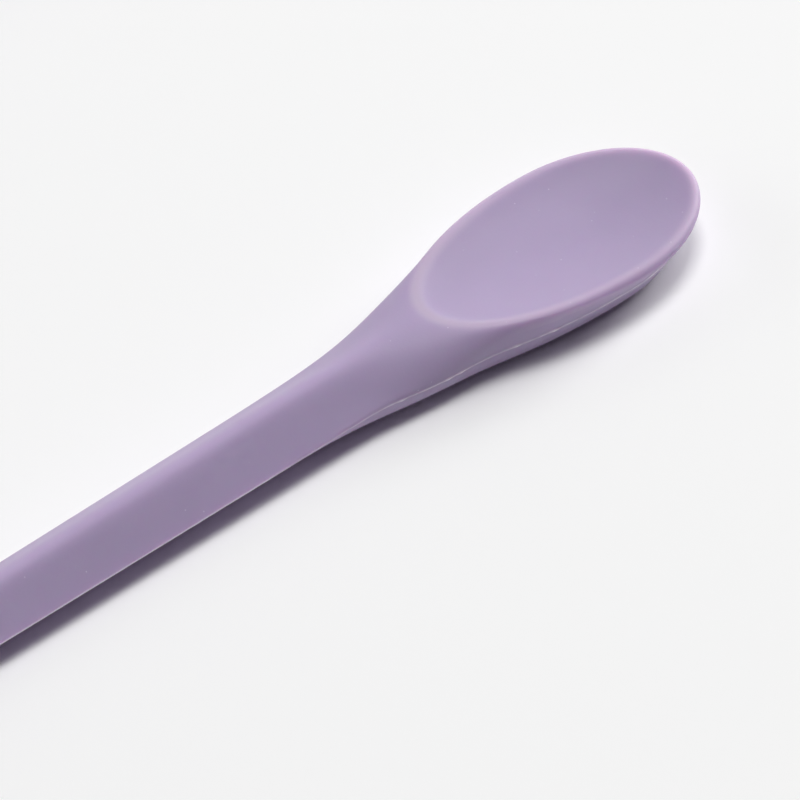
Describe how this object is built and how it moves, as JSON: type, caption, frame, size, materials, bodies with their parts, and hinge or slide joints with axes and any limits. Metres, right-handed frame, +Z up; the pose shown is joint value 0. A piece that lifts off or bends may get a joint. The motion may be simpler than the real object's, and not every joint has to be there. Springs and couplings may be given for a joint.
{
  "type": "cooking chopsticks",
  "caption": "Silicone cooking chopsticks over stiff cores: square tapered grips, grooved round tips, and a small tasting spoon on each grip end.",
  "frame": {"origin": "on the table under the middle of the pair's outer box", "axes": "+X from the tips towards the spoons, along the line between the sticks; +Z up"},
  "size_m": [0.2952, 0.1246, 0.0079],
  "materials": {
    "silicone": "matte lavender silicone, satin from the mould",
    "core_nylon": "grey glass-filled nylon"
  },
  "bodies": {
    "fixed_stick": {"fixed_stick_cover": "silicone", "fixed_stick_core": "core_nylon"},
    "moving_stick": {"moving_stick_cover": "silicone", "moving_stick_core": "core_nylon"}
  },
  "joints": [
    {"name": "pinch", "type": "hinge", "parent": "fixed_stick", "child": "moving_stick", "pos_m": [0.03936, 0.03519, 0], "axis": [0, 0, -1], "range_deg": [0, 16]}
  ]
}
